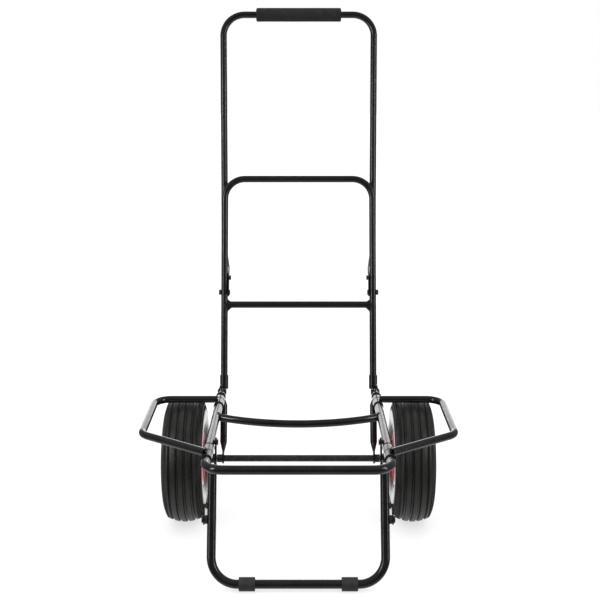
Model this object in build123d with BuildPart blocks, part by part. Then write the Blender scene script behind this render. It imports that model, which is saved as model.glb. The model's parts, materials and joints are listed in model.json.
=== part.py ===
from build123d import *
from math import cos, radians, sin
import os

# ---------------------------------------------------------------------------
# Folding two-wheel game cart.  Millimetres, +Z up, +X to the right of a person
# standing in front, handle at +Y, open front bar at -Y, floor at Z = 0.
# ---------------------------------------------------------------------------

# wheels and axle
WHEEL_R = 130.0
WHEEL_X = 235.0          # middle plane of each wheel
AXLE_Y = 54.5
AXLE_Z = WHEEL_R
AXLE_D = 14.0
HUB_HALF = 38.0

# tube stock
FRAME_D = 14.5           # back frame, handle, rear struts
BASE_D = 16.5            # platform and front leg
ARM_D = 14.5
CROSSBAR_D = 15.0
WALL = 1.4

# platform: level rails tipped two degrees down towards the front
TILT = 2.0
RAIL_X = 162.0
RAIL_LENGTH = 452.0      # rear pivot to front bar, centre to centre
FRONT_CORNER = 34.0

# folding base: strut and leg stay parallel, link and rail stay parallel
LEAN = 20.5
STRUT_LENGTH = 139.4     # rear pivot to axle, leg pivot to link bolt
LINK_LENGTH = 312.0      # rear pivot to leg pivot, axle to link bolt
STRUT_X = 157.5
LEG_X = 157.5
FOOT_D = 25.4
FOOT_FLAT = 12.3         # centre of the bottom bar above the floor
FOOT_LENGTH = 29.5
FOOT_X = 92.5
LEG_CORNER = 48.0

# back frame, set behind the rear pivot so it folds flat over the rails
BACK_LEAN = 14.0
BACK_X = 159.2
BACK_SET = 24.0
BACK_TOP = 458.0
BACK_BAR = 186.0
BACK_CORNER = 43.0
COLLAR_D = 18.0
COLLAR_LOW = 6.0
COLLAR_LENGTH = 29.0

# handle, measured along the back frame from the rear pivot
HANDLE_PIVOT = 212.6
HANDLE_SET = 16.0        # handle tube behind the back frame tube
HANDLE_TOP = 825.0
HANDLE_CORNER = 46.0
BUTTON_RISE = 31.6
GRIP_D = 30.0
GRIP_LENGTH = 187.0

# swing arms, plan measured from the rear pivot along the rail
ARM_OUT = 290.0
ARM_REAR = 84.0
ARM_BEND = 297.0
ARM_FRONT = 392.0
ARM_RISE = 10.0          # arm tube above the rail centre line
SLEEVE_D = 19.6
FIT = 0.05               # radial clearance of every running fit

# ---------------------------------------------------------------------------
# reference points and planes
# ---------------------------------------------------------------------------
PIVOT_Y = AXLE_Y + STRUT_LENGTH * sin(radians(LEAN))
PIVOT_Z = AXLE_Z + STRUT_LENGTH * cos(radians(LEAN))
RAIL_BACK = Vector(0, cos(radians(TILT)), sin(radians(TILT)))
RAIL_UP = Vector(0, -sin(radians(TILT)), cos(radians(TILT)))
STRUT_UP = Vector(0, sin(radians(LEAN)), cos(radians(LEAN)))
FRAME_UP = Vector(0, sin(radians(BACK_LEAN)), cos(radians(BACK_LEAN)))
FRAME_REAR = Vector(0, cos(radians(BACK_LEAN)), -sin(radians(BACK_LEAN)))

PIVOT = Vector(0, PIVOT_Y, PIVOT_Z)
AXLE = Vector(0, AXLE_Y, AXLE_Z)
LEG_PIVOT = PIVOT - RAIL_BACK * LINK_LENGTH
LINK_BOLT = AXLE - RAIL_BACK * LINK_LENGTH
FRAME_FOOT = PIVOT + FRAME_REAR * BACK_SET
HANDLE_BOLT = FRAME_FOOT + FRAME_UP * HANDLE_PIVOT
BUTTON = HANDLE_BOLT + FRAME_UP * BUTTON_RISE + FRAME_REAR * 1.0
LEG_LENGTH = (LEG_PIVOT.Z - FOOT_FLAT) / cos(radians(LEAN))

DECK = Plane(origin=PIVOT, x_dir=(1, 0, 0), z_dir=RAIL_UP)
FRAME_PLANE = Plane(origin=FRAME_FOOT, x_dir=(1, 0, 0), z_dir=FRAME_REAR * -1)
HANDLE_PLANE = FRAME_PLANE.offset(-HANDLE_SET)
LEG_PLANE = Plane(origin=LEG_PIVOT, x_dir=(1, 0, 0), z_dir=(0, -cos(radians(LEAN)), sin(radians(LEAN))))


def side_plane(x, origin, up):
    """Plane facing +X at x, local y along `up`, local x towards the rear."""
    rear = up.cross(Vector(1, 0, 0))
    return Plane(origin=(x, origin.Y, origin.Z), x_dir=rear, z_dir=(1, 0, 0))


def cross_plane(x, centre):
    """Plane facing +X at x, centred on a point of the side view."""
    return Plane(origin=(x, centre.Y, centre.Z), x_dir=(0, 1, 0), z_dir=(1, 0, 0))


def rail_plane(side, station):
    """Plane square to a rail, `station` in front of the rear pivot, facing the front."""
    origin = PIVOT + Vector(side * RAIL_X, 0, 0) - RAIL_BACK * station
    return Plane(origin=origin, x_dir=(1, 0, 0), z_dir=RAIL_BACK * -1)


def frame_plane(x, height):
    """Plane square to the back frame at a height above its foot, facing up the tube."""
    origin = FRAME_FOOT + Vector(x, 0, 0) + FRAME_UP * height
    return Plane(origin=origin, x_dir=(1, 0, 0), z_dir=FRAME_UP)


def rod(x1, x2, centre, radius, bore=0.0):
    """Plain round piece lying along X."""
    low = min(x1, x2)
    with BuildPart() as piece:
        with BuildSketch(cross_plane(low, centre)):
            Circle(radius)
            if bore:
                Circle(bore, mode=Mode.SUBTRACT)
        extrude(amount=abs(x2 - x1))
    return piece.part


def hexagon(x1, x2, centre, across, bore=0.0):
    """Hexagon head or nut lying along X."""
    low = min(x1, x2)
    with BuildPart() as piece:
        with BuildSketch(cross_plane(low, centre)):
            RegularPolygon(across / 2, 6, major_radius=False)
            if bore:
                Circle(bore, mode=Mode.SUBTRACT)
        extrude(amount=abs(x2 - x1))
        chamfer(piece.faces().sort_by(Axis.X)[-1].outer_wire().edges(), 0.5)
    return piece.part


def tube(plane, points, corner, diameter):
    """Round tube swept along a rounded polyline drawn on a plane."""
    with BuildPart() as piece:
        with BuildLine(plane) as path:
            FilletPolyline(*points, radius=corner)
        with BuildSketch(Plane(origin=path.line @ 0, z_dir=path.line % 0)):
            Circle(diameter / 2)
            Circle(diameter / 2 - WALL, mode=Mode.SUBTRACT)
        sweep(path=path.line)
    return piece.part


def flattened_end(x_tube, x_blade, origin, along, start, finish, diameter, width, thick, rounding):
    """Pressed tube end: round section at `finish`, flat blade from `start` down to the rounded tip."""
    round_at = Vector(x_tube, 0, 0) + origin + along * finish
    flat_at = Vector(x_blade, 0, 0) + origin + along * start
    with BuildPart() as piece:
        with BuildSketch(Plane(origin=round_at, x_dir=(1, 0, 0), z_dir=along * -1)):
            Circle(diameter / 2)
        with BuildSketch(Plane(origin=flat_at, x_dir=(1, 0, 0), z_dir=along * -1)):
            RectangleRounded(thick, width, thick * 0.3)
        loft()
        with BuildSketch(side_plane(x_blade - thick / 2, origin, along)):
            with Locations((0, start / 2)):
                Rectangle(width, abs(start))
            Circle(rounding)
        extrude(amount=thick)
    return piece.part


def side_hole(part, centre, radius):
    """Cross hole along X through a piece."""
    return part - rod(-400, 400, centre, radius)


# ---------------------------------------------------------------------------
# platform: one U of tube with its rear ends pressed flat around the pivot bolts
# ---------------------------------------------------------------------------
RAIL_BLADE_X = 162.5
rail_points = [(-RAIL_X, -24), (-RAIL_X, -RAIL_LENGTH), (RAIL_X, -RAIL_LENGTH), (RAIL_X, -24)]
with BuildPart() as platform_tube:
    add(tube(DECK, rail_points, FRONT_CORNER, BASE_D))
    for side in (-1, 1):
        add(flattened_end(side * RAIL_X, side * RAIL_BLADE_X, PIVOT, RAIL_BACK * -1, 12.0, 24.0,
                          BASE_D, 15.0, 4.2, 8.0))
platform_tube.part = side_hole(platform_tube.part, PIVOT, 4.0)
platform_tube.part = side_hole(platform_tube.part, LEG_PIVOT, 4.0)

with BuildPart() as platform_crossbar:
    with BuildLine(DECK) as bow:
        ThreePointArc((-RAIL_X, -165), (0, -209), (RAIL_X, -165))
    with BuildSketch(Plane(origin=bow.line @ 0, z_dir=bow.line % 0)):
        Circle(CROSSBAR_D / 2)
        Circle(CROSSBAR_D / 2 - WALL, mode=Mode.SUBTRACT)
    sweep(path=bow.line)
for side in (-1, 1):
    with BuildPart() as rail_core:
        with BuildSketch(rail_plane(side, 0)):
            Circle(BASE_D / 2)
        extrude(amount=RAIL_LENGTH)
    platform_crossbar.part = platform_crossbar.part - rail_core.part
platform_crossbar.part = platform_crossbar.part.solids().sort_by(SortBy.VOLUME)[-1]

with BuildPart() as rear_pivot_bolts:
    for side in (-1, 1):
        add(rod(side * 152.8, side * 168.8, PIVOT, 4.0))
        add(rod(side * 168.8, side * 170.8, PIVOT, 5.4))

with BuildPart() as rear_pivot_nuts:
    for side in (-1, 1):
        add(hexagon(side * 152.8, side * 155.3, PIVOT, 11.0, 4.0))

with BuildPart() as leg_pivot_bolts:
    for side in (-1, 1):
        add(rod(side * 147.3, side * 170.6, LEG_PIVOT, 4.0))
        add(rod(side * 170.6, side * 172.6, LEG_PIVOT, 5.4))

with BuildPart() as leg_pivot_nuts:
    for side in (-1, 1):
        add(hexagon(side * 147.3, side * 148.9, LEG_PIVOT, 10.5, 4.0))


def rail_ring(side, station, width, diameter):
    """Ring pressed on the rail at a distance from the rear pivot."""
    with BuildPart() as piece:
        with BuildSketch(rail_plane(side, station - width / 2)):
            Circle(diameter / 2)
            Circle(BASE_D / 2, mode=Mode.SUBTRACT)
        extrude(amount=width)
    return piece.part


with BuildPart() as rail_rings:
    for side in (-1, 1):
        for station, width in ((36, 3), (49.5, 3), (99, 3), (342.5, 3), (403, 3)):
            add(rail_ring(side, station, width, 20.4))

# ---------------------------------------------------------------------------
# swing arms: two sleeves turn on each rail and carry a bent tube
# ---------------------------------------------------------------------------


def arm_sleeve(side, start, finish, band):
    """Sleeve running on the rail, with one raised band."""
    with BuildPart() as piece:
        with BuildSketch(rail_plane(side, start)):
            Circle(SLEEVE_D / 2)
        extrude(amount=finish - start)
        chamfer(piece.edges().filter_by(GeomType.CIRCLE), 0.6)
        with BuildSketch(rail_plane(side, band - 1.5)):
            Circle(SLEEVE_D / 2 + 0.6)
        extrude(amount=3)
        with BuildSketch(rail_plane(side, start)):
            Circle(BASE_D / 2 + FIT)
        extrude(amount=finish - start, mode=Mode.SUBTRACT)
    return piece.part


REAR_SLEEVE = (52.0, 97.0, 68.0)
FRONT_SLEEVE = (345.0, 401.0, 372.0)
arm_right_rear_sleeve = arm_sleeve(1, *REAR_SLEEVE)
arm_right_front_sleeve = arm_sleeve(1, *FRONT_SLEEVE)
arm_left_rear_sleeve = arm_sleeve(-1, *REAR_SLEEVE)
arm_left_front_sleeve = arm_sleeve(-1, *FRONT_SLEEVE)


def arm_tube(side):
    """Bent arm tube in a plane just above the rails, coped onto its two sleeves."""
    plan = [(side * (RAIL_X + 3), -ARM_REAR), (side * ARM_OUT, -ARM_REAR),
            (side * ARM_OUT, -ARM_BEND), (side * (RAIL_X + 3), -ARM_FRONT)]
    bent = tube(DECK.offset(ARM_RISE), plan, 32.0, ARM_D)
    with BuildPart() as sleeve_core:
        with BuildSketch(rail_plane(side, 0)):
            Circle(SLEEVE_D / 2 + 0.6)
        extrude(amount=RAIL_LENGTH)
    return (bent - sleeve_core.part).solids().sort_by(SortBy.VOLUME)[-1]


arm_right_tube = arm_tube(1)
arm_left_tube = arm_tube(-1)

# ---------------------------------------------------------------------------
# front leg: one U standing on two rubber sleeves, tops pressed flat
# ---------------------------------------------------------------------------
LEG_BLADE_X = 151.2
LEG_DOWN = STRUT_UP * -1
leg_points = [(-LEG_X, -56), (-LEG_X, -LEG_LENGTH), (LEG_X, -LEG_LENGTH), (LEG_X, -56)]
with BuildPart() as front_leg_tube:
    add(tube(LEG_PLANE, leg_points, LEG_CORNER, BASE_D))
    for side in (-1, 1):
        add(flattened_end(side * LEG_X, side * LEG_BLADE_X, LEG_PIVOT, LEG_DOWN, 36.0, 56.0,
                          BASE_D, 18.0, 3.6, 9.0))
front_leg_tube.part = side_hole(front_leg_tube.part, LEG_PIVOT, 4.0 + FIT)
front_leg_tube.part = side_hole(front_leg_tube.part, LINK_BOLT, 4.0)

FOOT = LEG_PIVOT + LEG_DOWN * LEG_LENGTH


def foot_sleeve(x):
    """Rubber sleeve on the bottom bar, with a narrow flat along its underside."""
    with BuildPart() as piece:
        with BuildSketch(cross_plane(x - FOOT_LENGTH / 2, FOOT)):
            Circle(FOOT_D / 2)
        extrude(amount=FOOT_LENGTH)
        fillet(piece.edges().filter_by(GeomType.CIRCLE), 1.6)
        with BuildSketch(cross_plane(x - FOOT_LENGTH / 2, FOOT)):
            Circle(BASE_D / 2)
        extrude(amount=FOOT_LENGTH, mode=Mode.SUBTRACT)
        with Locations((x, FOOT.Y, -5)):
            Box(FOOT_LENGTH + 2, FOOT_D, 10, mode=Mode.SUBTRACT)
    return piece.part


foot_sleeve_right = foot_sleeve(FOOT_X)
foot_sleeve_left = foot_sleeve(-FOOT_X)

LINK_IN = 169.8
LINK_OUT = 172.8
STOP = LINK_BOLT + STRUT_UP * 25.0
with BuildPart() as link_spacers:
    for side in (-1, 1):
        add(rod(side * (LEG_X + BASE_D / 2 - 0.6), side * (LINK_IN - 0.3), LINK_BOLT, 8.0, 4.0))
link_spacers.part = link_spacers.part - front_leg_tube.part

with BuildPart() as link_bolts:
    for side in (-1, 1):
        add(rod(side * 149.3, side * (LINK_OUT + 0.3), LINK_BOLT, 4.0))
        add(rod(side * (LINK_OUT + 0.3), side * 175.6, LINK_BOLT, 6.2))

with BuildPart() as stop_studs:
    for side in (-1, 1):
        add(rod(side * 164.5, side * 168.4, STOP, 6.0))
        add(rod(side * 168.4, side * 173.2, STOP, 3.5))
stop_studs.part = stop_studs.part - front_leg_tube.part


def side_link(side):
    """Flat bar from the axle to the leg, with a raised heel that meets the stop stud."""
    inner = side * LINK_IN if side > 0 else side * LINK_OUT
    heel_x = 25.0 * sin(radians(LEAN + TILT))
    with BuildPart() as piece:
        with BuildSketch(side_plane(inner, LINK_BOLT, RAIL_UP)):
            with Locations((LINK_LENGTH / 2, 0)):
                SlotCenterToCenter(LINK_LENGTH, 19.0)
            with Locations((heel_x, 9.6)):
                Rectangle(11.0, 19.2)
            Circle(4.0 + FIT, mode=Mode.SUBTRACT)
            with Locations((LINK_LENGTH, 0)):
                Circle(AXLE_D / 2 + FIT, mode=Mode.SUBTRACT)
        extrude(amount=LINK_OUT - LINK_IN)
    return piece.part


side_link_right = side_link(1)
side_link_left = side_link(-1)

# ---------------------------------------------------------------------------
# rear struts and axle
# ---------------------------------------------------------------------------


def strut(side):
    """Tube strut pressed flat at both ends, hung from the rear pivot and holding the axle."""
    upper_x = side * 157.7
    lower_x = side * STRUT_X
    down = STRUT_UP * -1
    start = Vector(lower_x, 0, 0) + PIVOT + down * 28.0
    with BuildPart() as piece:
        with BuildSketch(Plane(origin=start, x_dir=(1, 0, 0), z_dir=down)):
            Circle(FRAME_D / 2)
            Circle(FRAME_D / 2 - WALL, mode=Mode.SUBTRACT)
        extrude(amount=STRUT_LENGTH - 28.0 - 34.0)
        add(flattened_end(lower_x, upper_x, PIVOT, down, 13.0, 28.0, FRAME_D, 14.0, 4.0, 7.5))
        add(flattened_end(lower_x, lower_x, AXLE, STRUT_UP, 12.0, 34.0, FRAME_D, 18.0, 4.0, 11.0))
    holed = side_hole(piece.part, PIVOT, 4.0 + FIT)
    return side_hole(holed, AXLE, AXLE_D / 2)


strut_right = strut(1)
strut_left = strut(-1)

AXLE_END = WHEEL_X + HUB_HALF + 9.0
axle = rod(-AXLE_END, AXLE_END, AXLE, AXLE_D / 2)

with BuildPart() as axle_inner_spacers:
    for side in (-1, 1):
        add(rod(side * 159.5, side * (LINK_IN - 0.3), AXLE, 8.4, AXLE_D / 2))

with BuildPart() as axle_outer_spacers:
    for side in (-1, 1):
        add(rod(side * (LINK_OUT + 0.3), side * (WHEEL_X - HUB_HALF - 0.3), AXLE, 9.8, AXLE_D / 2))

with BuildPart() as axle_washers:
    for side in (-1, 1):
        add(rod(side * (WHEEL_X + HUB_HALF + 0.3), side * (WHEEL_X + HUB_HALF + 2.5), AXLE, 13.0, AXLE_D / 2))


def axle_cap(side):
    """Pressed dome cap that keeps the wheel on."""
    inner = WHEEL_X + HUB_HALF + 2.6
    low = min(side * inner, side * (inner + 10.5))
    with BuildPart() as piece:
        with BuildSketch(cross_plane(low, AXLE)):
            Circle(10.6)
        extrude(amount=10.5)
        outer_face = piece.faces().filter_by(Axis.X).sort_by(Axis.X)[-1 if side > 0 else 0]
        fillet(outer_face.edges(), 4.5)
    return piece.part - rod(side * (inner - 1), side * (inner + 6.5), AXLE, AXLE_D / 2)


with BuildPart() as axle_caps:
    add(axle_cap(1))
    add(axle_cap(-1))

# ---------------------------------------------------------------------------
# wheels
# ---------------------------------------------------------------------------


def turned(side, outline):
    """Ring turned about the axle from a closed outline of (x from wheel centre, radius)."""
    with BuildPart() as piece:
        with BuildSketch(Plane(origin=AXLE, x_dir=(1, 0, 0), z_dir=(0, 0, 1))):
            with BuildLine():
                Polyline(*[(side * (WHEEL_X + x), r) for x, r in outline], close=True)
            make_face()
        revolve(axis=Axis(AXLE, (1, 0, 0)))
    return piece.part


GROOVES = (-21.0, -7.0, 7.0, 21.0)
GROOVE_W = 4.0
GROOVE_DEEP = 4.0


def tyre(side):
    """Pneumatic tyre: rounded carcass with four grooves round the tread."""
    shift = side * WHEEL_X
    with BuildPart() as piece:
        with BuildSketch(Plane(origin=AXLE, x_dir=(1, 0, 0), z_dir=(0, 0, 1))):
            with BuildLine():
                ThreePointArc((shift - 34, 121.5), (shift, 130), (shift + 34, 121.5))
                ThreePointArc((shift + 34, 121.5), (shift + 42, 92), (shift + 31, 55))
                Line((shift + 31, 55), (shift + 23, 51.5))
                ThreePointArc((shift + 23, 51.5), (shift + 34.5, 90), (shift + 28, 114))
                ThreePointArc((shift + 28, 114), (shift, 121), (shift - 28, 114))
                ThreePointArc((shift - 28, 114), (shift - 34.5, 90), (shift - 23, 51.5))
                Line((shift - 23, 51.5), (shift - 31, 55))
                ThreePointArc((shift - 31, 55), (shift - 42, 92), (shift - 34, 121.5))
            make_face()
            for groove in GROOVES:
                crown = 130 - 8.5 * (groove / 34) ** 2
                with Locations((shift + groove, crown)):
                    Rectangle(GROOVE_W, 2 * GROOVE_DEEP, mode=Mode.SUBTRACT)
        revolve(axis=Axis(AXLE, (1, 0, 0)))
    return piece.part


RIM_OUTLINE = [(0.2, 15.2), (0.2, 38.0), (4.2, 44.5), (19.0, 49.2), (30.2, 50.2), (33.6, 56.4),
               (35.6, 55.2), (32.0, 48.2), (19.4, 46.9), (6.0, 42.6), (2.6, 37.2), (2.6, 15.2)]
SCREW_CIRCLE = 28.0
SCREWS = [AXLE + Vector(0, SCREW_CIRCLE * cos(radians(angle)), SCREW_CIRCLE * sin(radians(angle)))
          for angle in (45, 135, 225, 315)]


def rim_half(side, face):
    """Pressed steel dish, one of two bolted back to back."""
    outline = [(face * x, r) for x, r in RIM_OUTLINE]
    dish = turned(side, outline)
    low = side * WHEEL_X - 10
    for centre in SCREWS:
        dish = dish - rod(low, low + 20, centre, 3.0)
    return dish


def rim_bolts(side):
    """Four screws with nuts that clamp the two dishes."""
    with BuildPart() as piece:
        mid = side * WHEEL_X
        for centre in SCREWS:
            add(rod(mid - side * 7, mid + side * 2.6, centre, 3.0))
            add(hexagon(mid + side * 2.6, mid + side * 6.6, centre, 10.0))
            add(hexagon(mid - side * 6.6, mid - side * 2.6, centre, 10.0, 3.0))
    return piece.part


def hub_tube(side):
    """Hub barrel through the middle of the rim."""
    low = side * WHEEL_X - HUB_HALF
    return rod(low, low + 2 * HUB_HALF, AXLE, 15.2, 12.0)


def hub_bushes(side):
    """Two flanged bushes pressed into the hub barrel."""
    with BuildPart() as piece:
        for end in (-1, 1):
            outer = side * WHEEL_X + end * HUB_HALF
            add(rod(outer, outer - end * 14.0, AXLE, 12.0, AXLE_D / 2 + FIT))
    return piece.part


VALVE_ANGLE = 62.0
VALVE_R = 40.0
VALVE = AXLE + Vector(0, VALVE_R * cos(radians(VALVE_ANGLE)), VALVE_R * sin(radians(VALVE_ANGLE)))


def valve_stem(side):
    """Straight rubber valve through the outer dish."""
    seat = side * (WHEEL_X + 12.0)
    return rod(seat, seat + side * 13.0, VALVE, 3.2)


def valve_cap(side):
    """Screwed cap on the valve."""
    seat = side * (WHEEL_X + 25.0)
    return rod(seat, seat + side * 6.0, VALVE, 3.9)


# ---------------------------------------------------------------------------
# back frame: U of tube, crossbar, hinge plates, lock collars
# ---------------------------------------------------------------------------
frame_points = [(-BACK_X, 5.6), (-BACK_X, BACK_TOP), (BACK_X, BACK_TOP), (BACK_X, 5.6)]
PLATE_IN = 165.2
PLATE_OUT = 168.4
with BuildPart() as back_frame_tube:
    add(tube(FRAME_PLANE, frame_points, BACK_CORNER, FRAME_D))
back_frame_tube.part = side_hole(back_frame_tube.part, HANDLE_BOLT, 4.0)


def hinge_plate(side):
    """Plate welded to the outside of the tube foot, reaching forward to the rear pivot."""
    inner = side * PLATE_IN if side > 0 else side * PLATE_OUT
    with BuildPart() as piece:
        with BuildSketch(side_plane(inner, PIVOT, FRAME_UP)):
            with BuildLine():
                Polyline((0, -9), (BACK_SET + 5, -3), (BACK_SET + 5, 13.4),
                         (BACK_SET - 6, 13.4), (9, 7.4), (0, 9), close=True)
            make_face()
            Circle(9.0)
            Circle(4.0 + FIT, mode=Mode.SUBTRACT)
        extrude(amount=PLATE_OUT - PLATE_IN)
    return piece.part - back_frame_tube.part


with BuildPart() as back_hinge_plates:
    add(hinge_plate(1))
    add(hinge_plate(-1))

with BuildPart() as back_crossbar:
    with BuildSketch(cross_plane(-BACK_X, FRAME_FOOT + FRAME_UP * BACK_BAR)):
        Circle(FRAME_D / 2)
    extrude(amount=2 * BACK_X)
    for side in (-1, 1):
        with BuildSketch(FRAME_PLANE.offset(-3.0)):
            with BuildLine():
                edge = side * (BACK_X - 2)
                tip = side * (BACK_X - 22)
                Polyline((edge, BACK_BAR - 20), (tip, BACK_BAR), (edge, BACK_BAR + 15), close=True)
            make_face()
        extrude(amount=6.0)
with BuildPart() as frame_tube_core:
    for side in (-1, 1):
        with BuildSketch(frame_plane(side * BACK_X, 0)):
            Circle(FRAME_D / 2)
        extrude(amount=BACK_TOP)
back_crossbar.part = (back_crossbar.part - frame_tube_core.part).solids().sort_by(SortBy.VOLUME)[-1]


def lock_collar(side):
    """Collar sliding on the tube foot, slotted front and back and cut away beside the hinge plate."""
    base = frame_plane(side * BACK_X, COLLAR_LOW)
    with BuildPart() as piece:
        with BuildSketch(base):
            Circle(COLLAR_D / 2)
            Circle(FRAME_D / 2 + FIT, mode=Mode.SUBTRACT)
        extrude(amount=COLLAR_LENGTH)
        with BuildSketch(base):
            Rectangle(5.0, COLLAR_D + 4)
        extrude(amount=5.0, mode=Mode.SUBTRACT)
        with BuildSketch(base):
            with Locations((side * (PLATE_IN - 0.3 - BACK_X + 5), 0)):
                Rectangle(10.0, COLLAR_D + 4)
        extrude(amount=8.4, mode=Mode.SUBTRACT)
    return piece.part


lock_collar_right = lock_collar(1)
lock_collar_left = lock_collar(-1)

# ---------------------------------------------------------------------------
# handle: U of tube behind the back frame, flattened straps on the pivot bolts
# ---------------------------------------------------------------------------
STRAP_X = 150.3
STRAP_T = 2.6
STRAP_W = 20.0
STRAP_TOP = 270.0
JOGGLE = 160.2
JOGGLE_TOP = 294.0
KNEE = (161.2, 440.0)      # slight change of splay above the back frame
HANDLE_X = 165.4
handle_points = [(-JOGGLE, JOGGLE_TOP), (-KNEE[0], KNEE[1]), (-HANDLE_X, HANDLE_TOP),
                 (HANDLE_X, HANDLE_TOP), KNEE, (JOGGLE, JOGGLE_TOP)]


def handle_strap(side):
    """Flattened lower end: strap beside the back frame tube, then a loft out to the round tube."""
    behind = FRAME_FOOT + FRAME_REAR * HANDLE_SET
    rise = behind + FRAME_UP * JOGGLE_TOP + Vector(side * JOGGLE, 0, 0)
    flat = behind + FRAME_UP * (STRAP_TOP - 2) + Vector(side * STRAP_X, 0, 0)
    splay = FRAME_UP * (KNEE[1] - JOGGLE_TOP) + Vector(side * (KNEE[0] - JOGGLE), 0, 0)
    with BuildPart() as piece:
        with BuildSketch(Plane(origin=rise, x_dir=(1, 0, 0), z_dir=splay)):
            Circle(FRAME_D / 2)
        with BuildSketch(Plane(origin=flat, x_dir=(1, 0, 0), z_dir=FRAME_UP)):
            RectangleRounded(STRAP_T, STRAP_W, STRAP_T / 3)
        loft()
        with BuildSketch(side_plane(side * STRAP_X - STRAP_T / 2, HANDLE_BOLT, FRAME_UP)):
            with Locations((0, 0), (1, BUTTON_RISE)):
                Circle(9.0)
            with Locations((HANDLE_SET, STRAP_TOP - HANDLE_PIVOT - 12)):
                Circle(STRAP_W / 2)
            make_hull()
            with Locations((HANDLE_SET, STRAP_TOP - HANDLE_PIVOT - 6)):
                Rectangle(STRAP_W, 12.0)
        extrude(amount=STRAP_T)
    return piece.part


with BuildPart() as handle_tube:
    add(tube(HANDLE_PLANE, handle_points, HANDLE_CORNER, FRAME_D))
    add(handle_strap(1))
    add(handle_strap(-1))
handle_tube.part = side_hole(handle_tube.part, HANDLE_BOLT, 4.0 + FIT)
handle_tube.part = side_hole(handle_tube.part, BUTTON, 2.5 + FIT)

HANDLE_END = FRAME_FOOT + FRAME_REAR * HANDLE_SET + FRAME_UP * HANDLE_TOP
with BuildPart() as foam_grip:
    with BuildSketch(cross_plane(-GRIP_LENGTH / 2, HANDLE_END)):
        Circle(GRIP_D / 2)
    extrude(amount=GRIP_LENGTH)
    fillet(foam_grip.edges().filter_by(GeomType.CIRCLE), 4.0)
    with BuildSketch(cross_plane(-GRIP_LENGTH / 2, HANDLE_END)):
        Circle(FRAME_D / 2)
    extrude(amount=GRIP_LENGTH, mode=Mode.SUBTRACT)

with BuildPart() as handle_pivot_bolts:
    for side in (-1, 1):
        add(rod(side * 147.3, side * (BACK_X + FRAME_D / 2), HANDLE_BOLT, 4.0))
        add(rod(side * (BACK_X + FRAME_D / 2), side * (BACK_X + FRAME_D / 2 + 4.6), HANDLE_BOLT, 5.6))

with BuildPart() as handle_pivot_nuts:
    for side in (-1, 1):
        add(hexagon(side * 147.3, side * 148.9, HANDLE_BOLT, 10.5, 4.0))


def lock_button(side):
    """Small pull knob with its pin in the strap."""
    with BuildPart() as piece:
        add(rod(side * 148.3, side * 151.4, BUTTON, 2.5))
        add(rod(side * 145.6, side * 148.6, BUTTON, 5.0))
    return piece.part


lock_button_right = lock_button(1)
lock_button_left = lock_button(-1)

# ---------------------------------------------------------------------------
# names and export
# ---------------------------------------------------------------------------
pieces = {
    "platform_tube": platform_tube.part,
    "platform_crossbar": platform_crossbar.part,
    "rear_pivot_bolts": rear_pivot_bolts.part,
    "rear_pivot_nuts": rear_pivot_nuts.part,
    "leg_pivot_bolts": leg_pivot_bolts.part,
    "leg_pivot_nuts": leg_pivot_nuts.part,
    "rail_rings": rail_rings.part,
    "arm_right_tube": arm_right_tube,
    "arm_right_rear_sleeve": arm_right_rear_sleeve,
    "arm_right_front_sleeve": arm_right_front_sleeve,
    "arm_left_tube": arm_left_tube,
    "arm_left_rear_sleeve": arm_left_rear_sleeve,
    "arm_left_front_sleeve": arm_left_front_sleeve,
    "front_leg_tube": front_leg_tube.part,
    "foot_sleeve_right": foot_sleeve_right,
    "foot_sleeve_left": foot_sleeve_left,
    "link_spacers": link_spacers.part,
    "link_bolts": link_bolts.part,
    "stop_studs": stop_studs.part,
    "side_link_right": side_link_right,
    "side_link_left": side_link_left,
    "strut_right": strut_right,
    "strut_left": strut_left,
    "axle": axle,
    "axle_inner_spacers": axle_inner_spacers.part,
    "axle_outer_spacers": axle_outer_spacers.part,
    "axle_washers": axle_washers.part,
    "axle_caps": axle_caps.part,
    "back_frame_tube": back_frame_tube.part,
    "back_hinge_plates": back_hinge_plates.part,
    "back_crossbar": back_crossbar.part,
    "lock_collar_right": lock_collar_right,
    "lock_collar_left": lock_collar_left,
    "handle_tube": handle_tube.part,
    "foam_grip": foam_grip.part,
    "handle_pivot_bolts": handle_pivot_bolts.part,
    "handle_pivot_nuts": handle_pivot_nuts.part,
    "lock_button_right": lock_button_right,
    "lock_button_left": lock_button_left,
}
for hand, side in (("right", 1), ("left", -1)):
    pieces[f"tyre_{hand}"] = tyre(side)
    pieces[f"rim_outer_{hand}"] = rim_half(side, 1)
    pieces[f"rim_inner_{hand}"] = rim_half(side, -1)
    pieces[f"rim_bolts_{hand}"] = rim_bolts(side)
    pieces[f"hub_tube_{hand}"] = hub_tube(side)
    pieces[f"hub_bushes_{hand}"] = hub_bushes(side)
    pieces[f"valve_stem_{hand}"] = valve_stem(side)
    pieces[f"valve_cap_{hand}"] = valve_cap(side)

os.makedirs("parts", exist_ok=True)
for label, part in pieces.items():
    part.label = label
    export_step(part, f"parts/{label}.step")
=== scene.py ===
"""Looks of the folding game cart: treaded tyres, foam grip, weld beads, finishes, light and camera.

Metres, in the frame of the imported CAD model: +Z up, +Y towards the handle, floor at Z = 0.
"""

import json
from math import cos, pi, radians, sin, sqrt

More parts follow.
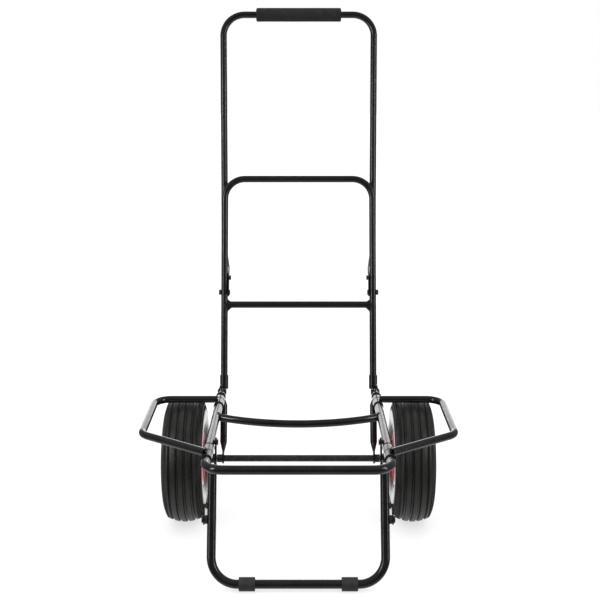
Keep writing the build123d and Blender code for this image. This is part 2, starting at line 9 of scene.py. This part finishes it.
import bpy
import numpy as np
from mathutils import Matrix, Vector


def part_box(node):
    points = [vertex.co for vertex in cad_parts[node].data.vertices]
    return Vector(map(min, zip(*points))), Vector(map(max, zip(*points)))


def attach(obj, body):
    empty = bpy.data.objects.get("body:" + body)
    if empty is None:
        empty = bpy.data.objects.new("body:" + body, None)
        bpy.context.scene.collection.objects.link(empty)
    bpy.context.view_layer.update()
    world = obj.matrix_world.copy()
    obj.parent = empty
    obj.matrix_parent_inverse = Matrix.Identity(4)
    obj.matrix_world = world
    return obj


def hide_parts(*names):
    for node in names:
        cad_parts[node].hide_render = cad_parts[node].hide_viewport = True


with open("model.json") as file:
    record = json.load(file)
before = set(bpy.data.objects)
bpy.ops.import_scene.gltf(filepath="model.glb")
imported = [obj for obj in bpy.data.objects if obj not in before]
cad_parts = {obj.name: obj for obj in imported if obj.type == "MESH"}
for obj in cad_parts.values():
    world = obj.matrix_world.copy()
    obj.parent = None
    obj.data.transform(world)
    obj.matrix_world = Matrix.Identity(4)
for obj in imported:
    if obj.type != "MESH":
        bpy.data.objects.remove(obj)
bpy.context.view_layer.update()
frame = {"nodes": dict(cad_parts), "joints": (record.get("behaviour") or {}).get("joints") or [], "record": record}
RECORD = frame["record"]
JOINTS = {j["name"]: j for j in frame["joints"]}
MM = 0.001
rng = np.random.default_rng(11)


# ---------------------------------------------------------------------------
# places taken from the frame
# ---------------------------------------------------------------------------
def joint_place(name):
    return Vector(JOINTS[name]["pos_m"])


def box_centre(node):
    low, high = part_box(node)
    return (low + high) / 2


PIVOT = joint_place("base_fold")
AXLE = joint_place("link_swing")
LEG_PIVOT = joint_place("leg_fold")
RAIL_BACK = (PIVOT - LEG_PIVOT).normalized()
RAIL_UP = Vector((1, 0, 0)).cross(RAIL_BACK)
FRAME_UP = Vector(JOINTS["collar_right_slide"]["axis"]).normalized()
FRAME_REAR = FRAME_UP.cross(Vector((1, 0, 0)))
X_AXIS = Vector((1, 0, 0))


# ---------------------------------------------------------------------------
# materials
# ---------------------------------------------------------------------------
class Surface:
    """One node material with small helpers to grow its colour, roughness and relief."""

    def __init__(self, name, metallic=0.0, specular=0.5, tint=1.0, coat=0.0, coat_roughness=0.1):
        self.material = bpy.data.materials.new(name)
        self.material.use_nodes = True
        self.tree = self.material.node_tree
        self.shader = self.tree.nodes["Principled BSDF"]
        self.shader.inputs["Metallic"].default_value = metallic
        self.shader.inputs["Specular IOR Level"].default_value = specular
        self.shader.inputs["Specular Tint"].default_value = (tint, tint, tint, 1.0)
        self.shader.inputs["Coat Weight"].default_value = coat
        self.shader.inputs["Coat Roughness"].default_value = coat_roughness
        self.place = self.tree.nodes.new("ShaderNodeTexCoord").outputs["Object"]
        self.bumps = None

    def link(self, a, b):
        self.tree.links.new(a, b)

    def noise(self, scale, detail=3.0, roughness=0.55):
        node = self.tree.nodes.new("ShaderNodeTexNoise")
        node.inputs["Scale"].default_value = scale
        node.inputs["Detail"].default_value = detail
        node.inputs["Roughness"].default_value = roughness
        self.link(self.place, node.inputs["Vector"])
        return node.outputs["Fac"]

    def cells(self, scale):
        node = self.tree.nodes.new("ShaderNodeTexVoronoi")
        node.inputs["Scale"].default_value = scale
        self.link(self.place, node.inputs["Vector"])
        return node.outputs["Distance"]

    def spread(self, value, low, high, out_low=0.0, out_high=1.0):
        node = self.tree.nodes.new("ShaderNodeMapRange")
        node.inputs["From Min"].default_value = low
        node.inputs["From Max"].default_value = high
        node.inputs["To Min"].default_value = out_low
        node.inputs["To Max"].default_value = out_high
        self.link(value, node.inputs["Value"])
        return node.outputs["Result"]

    def facing(self, axis):
        """Component of the surface normal along one axis."""
        geometry = self.tree.nodes.new("ShaderNodeNewGeometry")
        split = self.tree.nodes.new("ShaderNodeSeparateXYZ")
        self.link(geometry.outputs["Normal"], split.inputs["Vector"])
        return split.outputs[axis]

    def upward(self):
        """0 on sides and undersides, 1 on faces that look up."""
        return self.spread(self.facing("Z"), 0.35, 1.0)

    def times(self, a, b):
        node = self.tree.nodes.new("ShaderNodeMath")
        node.operation = "MULTIPLY"
        self.link(a, node.inputs[0])
        self.link(b, node.inputs[1])
        return node.outputs["Value"]

    def mix(self, mask, a, b):
        """Colour a where mask is 0, colour b where it is 1; a or b may be a socket."""
        node = self.tree.nodes.new("ShaderNodeMix")
        node.data_type = "RGBA"
        self.link(mask, node.inputs["Factor"])
        for socket, colour in ((node.inputs[6], a), (node.inputs[7], b)):
            if isinstance(colour, tuple):
                socket.default_value = (*colour, 1.0)
            else:
                self.link(colour, socket)
        return node.outputs[2]

    def colour(self, socket):
        self.link(socket, self.shader.inputs["Base Color"])

    def roughness(self, value, low, high, out_low, out_high):
        self.link(self.spread(value, low, high, out_low, out_high), self.shader.inputs["Roughness"])

    def relief(self, value, distance, strength=1.0):
        """Adds a bump layer; layers stack."""
        node = self.tree.nodes.new("ShaderNodeBump")
        node.inputs["Strength"].default_value = strength
        node.inputs["Distance"].default_value = distance
        self.link(value, node.inputs["Height"])
        if self.bumps is not None:
            self.link(self.bumps, node.inputs["Normal"])
        self.bumps = node.outputs["Normal"]
        self.link(self.bumps, self.shader.inputs["Normal"])


def powder_coat():
    s = Surface("powder_coat_black", specular=1.0, tint=0.46, coat=0.10, coat_roughness=0.04)
    patches = s.noise(28, detail=4)
    tone = s.mix(s.spread(patches, 0.35, 0.68), (0.0032, 0.0035, 0.0033), (0.0062, 0.0066, 0.0060))
    dust = s.times(s.upward(), s.spread(s.noise(210, detail=6, roughness=0.7), 0.56, 0.80))
    s.colour(s.mix(dust, tone, (0.020, 0.020, 0.019)))
    s.roughness(s.noise(60, detail=5), 0.3, 0.72, 0.12, 0.24)
    s.relief(s.noise(520, detail=2), 0.00010)
    s.relief(s.noise(2200, detail=1), 0.00002)
    return s.material


def enamel_red():
    s = Surface("enamel_red", coat=0.5, coat_roughness=0.06)
    tone = s.mix(s.spread(s.noise(34, detail=3), 0.3, 0.7), (0.56, 0.012, 0.024), (0.70, 0.020, 0.034))
    dust = s.spread(s.noise(320, detail=6, roughness=0.75), 0.56, 0.80)
    s.colour(s.mix(dust, tone, (0.34, 0.045, 0.045)))
    s.roughness(s.noise(75, detail=4), 0.3, 0.7, 0.20, 0.34)
    s.relief(s.noise(700, detail=2), 0.00006)
    return s.material


def dark_steel():
    s = Surface("steel_blackened", metallic=0.55, specular=0.5)
    tone = s.mix(s.spread(s.noise(150, detail=5), 0.32, 0.7), (0.016, 0.016, 0.017), (0.046, 0.045, 0.043))
    s.colour(tone)
    s.roughness(s.noise(260, detail=5), 0.3, 0.72, 0.30, 0.50)
    s.relief(s.noise(1800, detail=3), 0.00003)
    return s.material


def zinc():
    s = Surface("zinc_plate", metallic=1.0)
    grains = s.cells(480)
    tone = s.mix(s.spread(grains, 0.0, 0.9), (0.62, 0.62, 0.58), (0.46, 0.47, 0.47))
    s.colour(tone)
    s.roughness(s.noise(300, detail=4), 0.3, 0.7, 0.24, 0.42)
    s.relief(s.noise(1500, detail=3), 0.00003)
    return s.material


def foam():
    s = Surface("grip_foam", specular=0.28)
    pores = s.cells(900)
    tone = s.mix(s.spread(s.noise(90, detail=5), 0.3, 0.7), (0.0100, 0.0102, 0.0088),
                 (0.0175, 0.0178, 0.0155))
    # painted shade: the pore pits are painted darker (0.007) than the foam around them
    s.colour(s.mix(s.spread(pores, 0.0, 0.45, 1.0, 0.0), tone, (0.007, 0.007, 0.007)))
    s.roughness(s.noise(400, detail=4), 0.3, 0.7, 0.74, 0.92)
    s.relief(s.noise(260, detail=6, roughness=0.7), 0.00035)
    s.relief(s.spread(pores, 0.0, 0.6), 0.00025)
    return s.material


def rubber():
    s = Surface("rubber_moulded", specular=0.4)
    tone = s.mix(s.spread(s.noise(120, detail=5), 0.3, 0.7), (0.011, 0.011, 0.011), (0.020, 0.020, 0.019))
    s.colour(tone)
    s.roughness(s.noise(300, detail=4), 0.3, 0.7, 0.46, 0.64)
    s.relief(s.noise(1300, detail=3), 0.00008)
    return s.material


def tyre_rubber():
    s = Surface("tyre_rubber", specular=0.5)
    tone = s.mix(s.spread(s.noise(46, detail=6, roughness=0.65), 0.3, 0.72), (0.0072, 0.0073, 0.0062),
                 (0.0140, 0.0142, 0.0120))
    dust = s.spread(s.noise(260, detail=7, roughness=0.8), 0.55, 0.80)
    s.colour(s.mix(dust, tone, (0.030, 0.030, 0.026)))
    across = s.facing("X")
    on_wall = s.spread(s.times(across, across), 0.45, 0.92, 1.0, 0.45)
    grain = s.spread(s.noise(130, detail=6, roughness=0.7), 0.3, 0.7, 0.32, 0.48)
    s.link(s.times(grain, on_wall), s.shader.inputs["Roughness"])
    s.relief(s.noise(520, detail=5, roughness=0.65), 0.00016)
    s.relief(s.noise(2600, detail=2), 0.00004)
    return s.material


def black_plastic():
    s = Surface("plastic_black", specular=0.3, tint=0.25)
    tone = s.mix(s.spread(s.noise(110, detail=3), 0.3, 0.7), (0.009, 0.009, 0.009), (0.015, 0.015, 0.015))
    s.colour(tone)
    s.roughness(s.noise(240, detail=4), 0.3, 0.7, 0.52, 0.68)
    s.relief(s.cells(1600), 0.00004)
    return s.material


FINISHES = {
    "black_paint": powder_coat(),
    "red_paint": enamel_red(),
    "dark_steel": dark_steel(),
    "zinc": zinc(),
    "foam": foam(),
    "rubber": rubber(),
    "tyre": tyre_rubber(),
    "black_plastic": black_plastic(),
}
SLOT_OF = {s["node"]: s["material_slot"] for s in RECORD["subparts"]}
for node_name, node in frame["nodes"].items():
    for index in range(len(node.material_slots)):
        node.material_slots[index].material = FINISHES[SLOT_OF[node_name]]


# ---------------------------------------------------------------------------
# mesh helpers
# ---------------------------------------------------------------------------
def grid_mesh(name, rings, wrap_rings, wrap_columns, slot, body):
    """Smooth quad mesh from an array of rings (ring, column, xyz)."""
    count, columns, _ = rings.shape
    index = np.arange(count * columns).reshape(count, columns)
    down = np.roll(index, -1, axis=0) if wrap_rings else index[1:]
    across = np.roll(index, -1, axis=1) if wrap_columns else index[:, 1:]
    first = index if wrap_rings else index[:-1]
    if wrap_columns:
        faces = np.stack([first, across[: len(first)], np.roll(down, -1, axis=1), down], axis=-1)
    else:
        faces = np.stack([first[:, :-1], first[:, 1:], down[:, 1:], down[:, :-1]], axis=-1)
    mesh = bpy.data.meshes.new(name)
    mesh.from_pydata(rings.reshape(-1, 3).tolist(), [], faces.reshape(-1, 4).tolist())
    mesh.polygons.foreach_set("use_smooth", [True] * len(mesh.polygons))
    mesh.update()
    piece = bpy.data.objects.new(name, mesh)
    bpy.context.scene.collection.objects.link(piece)
    mesh.materials.append(FINISHES[slot])
    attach(piece, body)
    return piece


def arc_points(a, b, c, count):
    """Points on the circle through a, b, c, from a to c."""
    ax, ay = a
    bx, by = b
    cx, cy = c
    d = 2 * (ax * (by - cy) + bx * (cy - ay) + cx * (ay - by))
    ux = ((ax**2 + ay**2) * (by - cy) + (bx**2 + by**2) * (cy - ay) + (cx**2 + cy**2) * (ay - by)) / d
    uy = ((ax**2 + ay**2) * (cx - bx) + (bx**2 + by**2) * (ax - cx) + (cx**2 + cy**2) * (bx - ax)) / d
    angles = [np.arctan2(y - uy, x - ux) for x, y in (a, b, c)]
    angles = np.unwrap(angles)
    turn = np.linspace(angles[0], angles[2], count)
    size = np.hypot(ax - ux, ay - uy)
    return np.stack([ux + size * np.cos(turn), uy + size * np.sin(turn)], axis=1)


# ---------------------------------------------------------------------------
# tyres: ribbed tread with four grooves and hatched shoulders
# ---------------------------------------------------------------------------
TYRE_R = 130.0
SHOULDER = (34, 121.5)      # (across, radius) where the tread meets the wall
WALL_MIDDLE = (42, 92)
WALL_FOOT = (31, 55)
BEAD_EDGE = (27.0, 52.6)
GROOVES = (-22.5, -7.5, 7.5, 22.5)
GROOVE_HALF = 2.3
GROOVE_DEEP = 5.0
GROOVE_WAVER = 0.8
LUG_DEEP = 2.8
SIPE_DEEP = 0.5
WALL_DEEP = 0.8             # height of the raised rings on the wall
PITCHES = 96                # sipes and lugs round the tyre
TURN_STEPS = 768


def smooth_step(value, low, high):
    t = np.clip((value - low) / (high - low), 0, 1)
    return t * t * (3 - 2 * t)


def tyre_profile():
    """Closed section, outside first, as (across, radius, inward normal, outside mask)."""
    crown = arc_points((-SHOULDER[0], SHOULDER[1]), (0, TYRE_R), SHOULDER, 121)
    wall = arc_points(SHOULDER, WALL_MIDDLE, WALL_FOOT, 46)
    bead_edge = np.array([BEAD_EDGE])
    inner_wall = arc_points((23, 51.5), (34.5, 90), (28, 114), 12)
    inner_crown = arc_points((28, 114), (0, 121), (-28, 114), 9)
    right = np.concatenate([wall[1:], bead_edge])
    left = right[::-1] * [-1, 1]
    inside = np.concatenate([inner_wall, inner_crown[1:-1], inner_wall[::-1] * [-1, 1]])
    section = np.concatenate([left, crown, right, inside])
    outside = np.zeros(len(section))
    outside[: len(left) + len(crown) + len(right)] = 1
    ahead = np.roll(section, -1, axis=0) - np.roll(section, 1, axis=0)
    inward = np.stack([ahead[:, 1], -ahead[:, 0]], axis=1)
    inward /= np.linalg.norm(inward, axis=1)[:, None]
    return section, inward, outside


def tread_depth(across, radius, turn):
    """How far the surface lies under the plain carcass, in millimetres."""
    saw = np.abs(((turn * PITCHES / (2 * pi)) % 1) * 2 - 1) - 0.5
    depth = np.zeros(np.broadcast(across, turn).shape)
    for groove in GROOVES:
        off = np.abs(across - groove - GROOVE_WAVER * saw)
        cut = 1 - smooth_step(off, GROOVE_HALF * 0.7, GROOVE_HALF * 1.5)
        depth = np.maximum(depth, GROOVE_DEEP * cut)
    size = np.abs(across)
    slant = turn * PITCHES * 2 + size * 0.55
    lugs = smooth_step(np.sin(slant), -0.15, 0.45)
    shoulder = smooth_step(size, 28.0, 30.5) * smooth_step(radius, 104.0, 108.0)
    depth = np.maximum(depth, LUG_DEEP * (1 - lugs) * shoulder)
    cross = smooth_step(np.abs(np.sin(turn * PITCHES * 0.5 + across * 0.22)), 0.0, 0.10)
    ribs = 1 - smooth_step(size, 27.0, 28.0)
    depth = np.maximum(depth, SIPE_DEEP * (1 - cross) * ribs)
    on_wall = smooth_step(-radius, -104.0, -101.0)
    ring_a = np.exp(-(((radius - 99.0) / 1.0) ** 2))
    ring_b = np.exp(-(((radius - 64.0) / 1.6) ** 2))
    ring_c = np.exp(-(((radius - 72.0) / 0.8) ** 2))
    spokes = 0.5 * (1 + np.sin(turn * PITCHES * 2)) * np.exp(-(((radius - 103.5) / 3.0) ** 2))
    wall = 0.9 - 0.8 * ring_a - 0.9 * ring_b - 0.5 * ring_c
    return depth + np.clip(on_wall * wall, 0, 1) * WALL_DEEP + 0.5 * spokes * smooth_step(size, 30, 34)


def tyre(hand):
    section, inward, outside = tyre_profile()
    middle = box_centre(f"tyre_{hand}")
    turn = np.linspace(0, 2 * pi, TURN_STEPS, endpoint=False)[:, None]
    across = section[:, 0][None, :]
    radius = section[:, 1][None, :]
    depth = tread_depth(across, radius, turn) * outside
    x = across + inward[:, 0] * depth
    r = radius + inward[:, 1] * depth
    rings = np.stack([middle.x / MM + x, middle.y / MM + r * np.cos(turn),
                      middle.z / MM + r * np.sin(turn)], axis=-1)
    piece = grid_mesh(f"tread_tyre_{hand}", rings * MM, True, True, "tyre", f"wheel_{hand}")
    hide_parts(f"tyre_{hand}")


for hand in ("left", "right"):
    tyre(hand)


# ---------------------------------------------------------------------------
# foam grip
# ---------------------------------------------------------------------------
GRIP_BORE = 7.3 * MM
GRIP_ROUND = 3.2 * MM
GRIP_SKIN = 0.2 * MM        # kept inside the CAD sleeve
GRIP_WAVE = 0.10 * MM
GRIP_DISH = 0.5 * MM


def foam_sleeve():
    """Slightly uneven foam tube with rounded, dished ends."""
    low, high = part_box("foam_grip")
    middle = (low + high) / 2
    outer = (high.z - low.z) / 2 - GRIP_SKIN
    length = high.x - low.x - 0.6 * MM
    along = np.linspace(-1, 1, 150)
    edge = length / 2 - np.abs(along) * length / 2
    drop = GRIP_ROUND - np.sqrt(np.clip(GRIP_ROUND**2 - (GRIP_ROUND - edge) ** 2, 0, None))
    inset = np.where(edge < GRIP_ROUND, drop, 0)
    turn = np.linspace(0, 2 * pi, 96, endpoint=False)
    waves = np.zeros((len(along), len(turn)))
    for _ in range(14):
        k, m = rng.integers(1, 5), rng.integers(1, 16)
        waves += rng.normal(0, 1) * np.sin(k * turn[None, :] + m * along[:, None] * 3 + rng.uniform(0, 6)) / m
    waves *= GRIP_WAVE / np.abs(waves).max()
    size = outer - 0.12 * MM - inset[:, None] * 0.9 + waves
    x = middle.x + along * length / 2
    rings = np.stack([np.broadcast_to(x[:, None], size.shape), middle.y + size * np.cos(turn),
                      middle.z + size * np.sin(turn)], axis=-1)
    caps = []
    for end in (1, 0):
        if end:
            sizes = np.linspace(size[-1].mean(), GRIP_BORE, 7)[1:]
        else:
            sizes = np.linspace(GRIP_BORE, size[0].mean(), 7)[:-1]
        dish = GRIP_DISH * np.sin(np.linspace(0, pi, 6))
        for step, ring in enumerate(sizes):
            where = x[-1] - dish[step] if end else x[0] + dish[step]
            caps.append(np.stack([np.full(len(turn), where), middle.y + ring * np.cos(turn),
                                  middle.z + ring * np.sin(turn)], axis=-1))
    rings = np.concatenate([np.array(caps[6:]), rings, np.array(caps[:6])])
    piece = grid_mesh("grip_sleeve", rings, True, True, "foam", "handle")
    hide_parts("foam_grip")


foam_sleeve()


# ---------------------------------------------------------------------------
# weld beads
# ---------------------------------------------------------------------------
def bead(name, body, path, size, closed=True):
    """Rippled weld bead along a line of points."""
    path = np.array([list(p) for p in path])
    ahead = np.roll(path, -1, axis=0) - np.roll(path, 1, axis=0)
    if not closed:
        ahead[0] = path[1] - path[0]
        ahead[-1] = path[-1] - path[-2]
    ahead /= np.linalg.norm(ahead, axis=1)[:, None]
    out = path - path.mean(axis=0)
    out -= (out * ahead).sum(axis=1)[:, None] * ahead
    out /= np.linalg.norm(out, axis=1)[:, None]
    side = np.cross(ahead, out)
    step = np.linalg.norm(np.diff(path, axis=0, prepend=path[:1]), axis=1).cumsum()
    ripple = 1 + 0.13 * np.cos(2 * pi * step / (2.1 * MM)) + rng.normal(0, 0.03, len(path))
    if not closed:
        ripple *= np.sqrt(np.clip(np.minimum(step, step[-1] - step) / (1.2 * MM), 0.02, 1))
    turn = np.linspace(0, 2 * pi, 12, endpoint=False)
    ring = out[:, None, :] * np.cos(turn)[None, :, None] + side[:, None, :] * np.sin(turn)[None, :, None]
    rings = path[:, None, :] + ring * (size * ripple)[:, None, None]
    return grid_mesh(name, rings, closed, True, "black_paint", body)


def saddle(centre, along, across, upright, tube_r, main_r, rise=0.0, start=0.0, stop=360.0, count=96):
    """Line where a tube running `along` meets the wall of a main tube lying along `upright`."""
    points = []
    for angle in np.linspace(start, stop, count, endpoint=stop - start < 360):
        side = rise + tube_r * sin(radians(angle))
        other = tube_r * cos(radians(angle))
        reach = sqrt(max(main_r**2 - side**2, 0.0))
        points.append(centre + along * reach + across * side + upright * other)
    return points


SLEEVE_R = 9.8 * MM
ARM_RISE = 10 * MM          # arm tube above the rail's centre line
DECK_BAR_STATION = 165 * MM
FRAME_R = 7.25 * MM
DECK_BAR_R = 7.5 * MM
RAIL_R = 8.25 * MM
ARM_R = 7.25 * MM
BEAD = 1.5 * MM
ARM_BEAD = 1.2 * MM
frame_x = box_centre("lock_collar_right").x
bar = box_centre("back_crossbar")
rail_x = JOINTS["arm_right_fold"]["pos_m"][0]
for hand, side in (("left", -1), ("right", 1)):
    toward = X_AXIS * -side
    on_frame = Vector((side * frame_x, bar.y, bar.z))
    bead(f"weld_back_bar_{hand}", "back_frame",
         saddle(on_frame, toward, FRAME_REAR, FRAME_UP, FRAME_R, FRAME_R), BEAD)
    tie = PIVOT - RAIL_BACK * DECK_BAR_STATION
    on_rail = Vector((side * rail_x, tie.y, tie.z))
    bead(f"weld_deck_bar_{hand}", "platform",
         saddle(on_rail, toward, RAIL_UP, RAIL_BACK, DECK_BAR_R, RAIL_R), BEAD)
    for end, label in ((1, "rear"), (-1, "front")):
        sleeve = box_centre(f"arm_{hand}_{label}_sleeve")
        on_sleeve = Vector((side * rail_x, sleeve.y, sleeve.z))
        bead(f"weld_arm_{label}_{hand}", f"arm_{hand}",
             saddle(on_sleeve, -toward, RAIL_UP, RAIL_BACK, ARM_R, SLEEVE_R, ARM_RISE, 184.0, 356.0, 60),
             ARM_BEAD, closed=False)


# ---------------------------------------------------------------------------
# floor, light and camera
# ---------------------------------------------------------------------------
FLOOR_REACH = 60.0
FLOOR_GLOW = 0.70
SKY_SPREAD = 130            # degrees
SKY_POWER = 5.4
STRIPS = (                  # name, place, aim, width, height, power
    ("left_light", (-2.4, -1.5, 1.2), (0, 0, 0.6), 0.35, 2.4, 16),
    ("right_light", (2.4, -1.2, 1.2), (0, 0, 0.6), 0.35, 2.4, 14),
    ("left_upper_light", (-2.3, -1.5, 1.6), (0, 0, 0.9), 0.35, 1.2, 13),
    ("right_upper_light", (2.3, -1.3, 1.6), (0, 0, 0.9), 0.35, 1.2, 9),
)
CAMERA_LENS = 65.87
CAMERA_SIDE = 0.0029
CAMERA_AWAY = 2.2           # in front of the axle
CAMERA_HEIGHT = 0.8726
CAMERA_DOWN = 10.45         # degrees below level


def plain_floor():
    """White sweep that glows evenly with its own emission (FLOOR_GLOW), so shadows on it stay faint."""
    mesh = bpy.data.meshes.new("floor")
    corners = [(x * FLOOR_REACH, y * FLOOR_REACH, 0) for x, y in ((-1, -1), (1, -1), (1, 1), (-1, 1))]
    mesh.from_pydata(corners, [], [(0, 1, 2, 3)])
    floor = bpy.data.objects.new("floor", mesh)
    bpy.context.scene.collection.objects.link(floor)
    s = Surface("floor_white", specular=0.1)
    s.colour(s.mix(s.noise(3.0), (0.235, 0.235, 0.235), (0.245, 0.245, 0.245)))
    s.shader.inputs["Roughness"].default_value = 0.8
    s.shader.inputs["Emission Color"].default_value = (1.0, 1.0, 1.0, 1.0)
    s.shader.inputs["Emission Strength"].default_value = FLOOR_GLOW
    mesh.materials.append(s.material)
    floor.visible_glossy = False


def soft_box(name, place, aim, width, height, power):
    """Strip light that shows only as a highlight line along the tubes."""
    light = bpy.data.lights.new(name, "AREA")
    light.shape = "RECTANGLE"
    light.size = width
    light.size_y = height
    light.energy = power
    lamp = bpy.data.objects.new(name, light)
    lamp.location = place
    lamp.rotation_euler = (Vector(aim) - Vector(place)).to_track_quat("-Z", "Y").to_euler()
    lamp.visible_diffuse = False
    bpy.context.scene.collection.objects.link(lamp)


def overhead_light():
    """Broad even light from above for the floor; it makes no streaks on the tubes."""
    light = bpy.data.lights.new("overhead", "SUN")
    light.angle = radians(SKY_SPREAD)
    light.energy = SKY_POWER
    lamp = bpy.data.objects.new("overhead", light)
    lamp.rotation_euler = (radians(6), radians(-4), 0)
    lamp.visible_glossy = False
    bpy.context.scene.collection.objects.link(lamp)


def studio_world():
    """White to the camera; the cart's gloss sees a dark room, a bright backdrop and a lit floor."""
    world = bpy.data.worlds.new("studio")
    bpy.context.scene.world = world
    world.use_nodes = True
    tree = world.node_tree

    def ramp(value, low, high, out_low, out_high):
        node = tree.nodes.new("ShaderNodeMapRange")
        node.interpolation_type = "SMOOTHSTEP"
        node.inputs["From Min"].default_value = low
        node.inputs["From Max"].default_value = high
        node.inputs["To Min"].default_value = out_low
        node.inputs["To Max"].default_value = out_high
        tree.links.new(value, node.inputs["Value"])
        return node.outputs["Result"]

    def combine(operation, *values):
        node = tree.nodes.new("ShaderNodeMath")
        node.operation = operation
        for socket, value in zip(node.inputs, values):
            tree.links.new(value, socket)
        return node.outputs["Value"]

    place = tree.nodes.new("ShaderNodeTexCoord")
    split = tree.nodes.new("ShaderNodeSeparateXYZ")
    tree.links.new(place.outputs["Generated"], split.inputs["Vector"])
    walls = ramp(split.outputs["Y"], -0.80, 0.30, 0.08, 0.30)
    backdrop = ramp(split.outputs["Y"], 0.86, 0.96, 0.0, 1.0)
    height = ramp(split.outputs["Z"], 0.02, 0.12, 1.7, 3.1)
    ceiling = ramp(split.outputs["Z"], 0.28, 0.60, 1.05, 0.36)
    ground = ramp(split.outputs["Z"], -0.62, -0.30, 0.60, 0.0)
    above = ramp(split.outputs["Z"], 0.26, 0.60, 0.0, 0.32)
    front = combine("MULTIPLY_ADD", backdrop, height, walls)
    lit = combine("MULTIPLY_ADD", front, ceiling, combine("ADD", ground, above))
    room = tree.nodes.new("ShaderNodeBackground")
    tree.links.new(lit, room.inputs["Strength"])
    white = tree.nodes["Background"]
    white.inputs["Color"].default_value = (1.0, 1.0, 1.0, 1.0)
    rays = tree.nodes.new("ShaderNodeLightPath")
    choose = tree.nodes.new("ShaderNodeMixShader")
    tree.links.new(rays.outputs["Is Camera Ray"], choose.inputs["Fac"])
    tree.links.new(room.outputs["Background"], choose.inputs[1])
    tree.links.new(white.outputs["Background"], choose.inputs[2])
    tree.links.new(choose.outputs["Shader"], tree.nodes["World Output"].inputs["Surface"])


def photo_camera():
    camera = bpy.data.cameras.new("camera")
    camera.sensor_width = 36.0
    camera.lens = CAMERA_LENS
    eye = bpy.data.objects.new("camera", camera)
    eye.location = (CAMERA_SIDE, AXLE.y - CAMERA_AWAY, CAMERA_HEIGHT)
    eye.rotation_euler = (radians(90 - CAMERA_DOWN), 0, 0)
    bpy.context.scene.collection.objects.link(eye)
    bpy.context.scene.camera = eye


plain_floor()
studio_world()
overhead_light()
for strip in STRIPS:
    soft_box(*strip)
photo_camera()
bpy.context.scene.view_settings.view_transform = "Standard"
